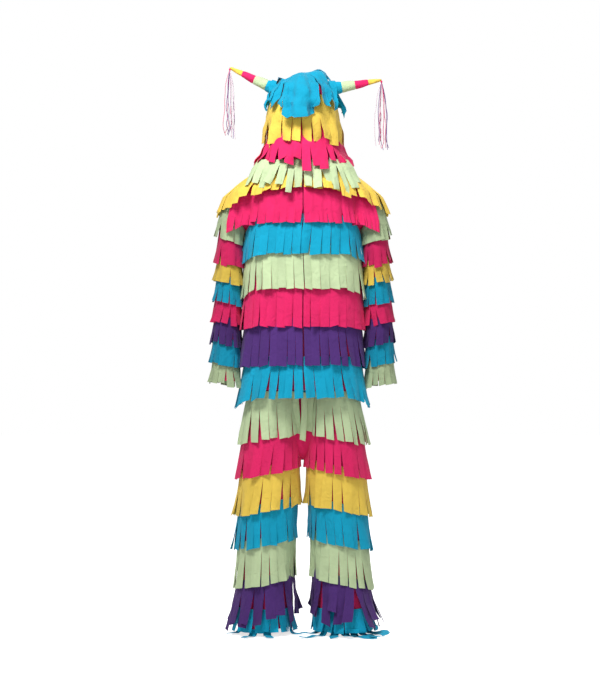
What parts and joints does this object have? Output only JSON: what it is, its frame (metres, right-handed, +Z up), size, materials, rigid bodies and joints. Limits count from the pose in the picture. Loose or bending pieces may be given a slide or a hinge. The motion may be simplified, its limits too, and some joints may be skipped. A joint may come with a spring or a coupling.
{
  "type": "fringed pinata costume",
  "caption": "Hooded jumpsuit costume covered in rows of cut fringe, with two banded horns, cord tassels and a front zip.",
  "frame": {"origin": "on the floor, midway between the two legs, under the middle of the neck", "axes": "+Z up, the zip faces -Y, +X is the wearer's left"},
  "size_m": [0.5916, 0.3109, 1.7972],
  "materials": {
    "pink_cloth": "matte woven cloth",
    "pink_fringe": "matte felt strips",
    "teal_fringe": "matte felt strips",
    "green_fringe": "matte felt strips",
    "yellow_fringe": "matte felt strips",
    "purple_fringe": "matte felt strips",
    "vision_mesh": "open mesh",
    "zip_tape": "woven tape",
    "zip_coil": "moulded coil",
    "zip_metal": "enamelled",
    "horn_filling": "polyester wadding",
    "tassel_cord": "twisted cord"
  },
  "bodies": {
    "torso": {"torso_front_left": "pink_cloth", "torso_front_right": "pink_cloth", "torso_back": "pink_cloth", "crotch_gusset": "pink_cloth", "torso_pink_fringe": "pink_fringe", "torso_teal_fringe": "teal_fringe", "torso_green_fringe": "green_fringe", "torso_purple_fringe": "purple_fringe", "yellow_yoke_fringe": "yellow_fringe", "green_ruff_fringe": "green_fringe", "zip_tape_left": "zip_tape", "zip_tape_right": "zip_tape", "zip_coil": "zip_coil", "zip_stops": "zip_coil"},
    "left_sleeve": {"left_sleeve_tube": "pink_cloth", "left_sleeve_yellow_fringe": "yellow_fringe", "left_sleeve_green_fringe": "green_fringe", "left_sleeve_pink_fringe": "pink_fringe", "left_sleeve_teal_fringe": "teal_fringe", "left_sleeve_purple_fringe": "purple_fringe"},
    "left_leg": {"left_leg_tube": "pink_cloth", "left_leg_green_fringe": "green_fringe", "left_leg_pink_fringe": "pink_fringe", "left_leg_yellow_fringe": "yellow_fringe", "left_leg_teal_fringe": "teal_fringe", "left_leg_purple_fringe": "purple_fringe"},
    "right_sleeve": {"right_sleeve_tube": "pink_cloth", "right_sleeve_yellow_fringe": "yellow_fringe", "right_sleeve_green_fringe": "green_fringe", "right_sleeve_pink_fringe": "pink_fringe", "right_sleeve_teal_fringe": "teal_fringe", "right_sleeve_purple_fringe": "purple_fringe"},
    "right_leg": {"right_leg_tube": "pink_cloth", "right_leg_green_fringe": "green_fringe", "right_leg_pink_fringe": "pink_fringe", "right_leg_yellow_fringe": "yellow_fringe", "right_leg_teal_fringe": "teal_fringe", "right_leg_purple_fringe": "purple_fringe"},
    "neck": {"neck_band": "pink_cloth"},
    "hood": {"hood_left_half": "pink_cloth", "hood_right_half": "pink_cloth", "vision_mesh": "vision_mesh", "hood_pink_fringe": "pink_fringe", "hood_yellow_fringe": "yellow_fringe", "hood_teal_fringe": "teal_fringe"},
    "left_horn": {"left_horn_teal_band": "teal_fringe", "left_horn_green_band": "green_fringe", "left_horn_pink_band": "pink_fringe", "left_horn_yellow_band": "yellow_fringe", "left_horn_filling": "horn_filling"},
    "left_tassel": {"left_tassel": "tassel_cord"},
    "right_horn": {"right_horn_teal_band": "teal_fringe", "right_horn_green_band": "green_fringe", "right_horn_pink_band": "pink_fringe", "right_horn_yellow_band": "yellow_fringe", "right_horn_filling": "horn_filling"},
    "right_tassel": {"right_tassel": "tassel_cord"},
    "zip_slider": {"zip_slider": "zip_metal"},
    "zip_pull": {"zip_pull": "zip_metal"}
  },
  "joints": [
    {"name": "left_sleeve_raise", "type": "hinge", "parent": "torso", "child": "left_sleeve", "pos_m": [0.184, 0, 1.432], "axis": [0, -1, 0], "range_deg": [0, 70]},
    {"name": "right_sleeve_raise", "type": "hinge", "parent": "torso", "child": "right_sleeve", "pos_m": [-0.184, 0, 1.432], "axis": [0, 1, 0], "range_deg": [0, 70]},
    {"name": "left_leg_swing", "type": "hinge", "parent": "torso", "child": "left_leg", "pos_m": [0.105, 0, 0.772], "axis": [-1, 0, 0], "range_deg": [-20, 20]},
    {"name": "right_leg_swing", "type": "hinge", "parent": "torso", "child": "right_leg", "pos_m": [-0.105, 0, 0.772], "axis": [-1, 0, 0], "range_deg": [-20, 20]},
    {"name": "hood_turn", "type": "hinge", "parent": "torso", "child": "neck", "pos_m": [0, 0, 1.514], "axis": [0, 0, 1], "range_deg": [-60, 60]},
    {"name": "hood_nod", "type": "hinge", "parent": "neck", "child": "hood", "pos_m": [0, 0, 1.514], "axis": [1, 0, 0], "range_deg": [-5, 5]},
    {"name": "left_horn_bob", "type": "hinge", "parent": "hood", "child": "left_horn", "pos_m": [0.08418, 0, 1.72692], "axis": [0, -1, 0], "range_deg": [-6, 6], "stiffness_Nm_per_rad": 0.6},
    {"name": "left_tassel_swing", "type": "hinge", "parent": "left_horn", "child": "left_tassel", "pos_m": [0.24963, 0, 1.74709], "axis": [1, 0, 0], "range_deg": [-50, 50]},
    {"name": "right_horn_bob", "type": "hinge", "parent": "hood", "child": "right_horn", "pos_m": [-0.08012, 0, 1.72393], "axis": [0, 1, 0], "range_deg": [-6, 6], "stiffness_Nm_per_rad": 0.6},
    {"name": "right_tassel_swing", "type": "hinge", "parent": "right_horn", "child": "right_tassel", "pos_m": [-0.23238, 0, 1.78593], "axis": [1, 0, 0], "range_deg": [-50, 50]},
    {"name": "zip_slide", "type": "slide", "parent": "torso", "child": "zip_slider", "axis": [0, 0, -1], "range_m": [0, 0.577]},
    {"name": "zip_pull_lift", "type": "hinge", "parent": "zip_slider", "child": "zip_pull", "pos_m": [0, -0.1298, 1.378], "axis": [-1, 0, 0], "range_deg": [0, 150]}
  ]
}
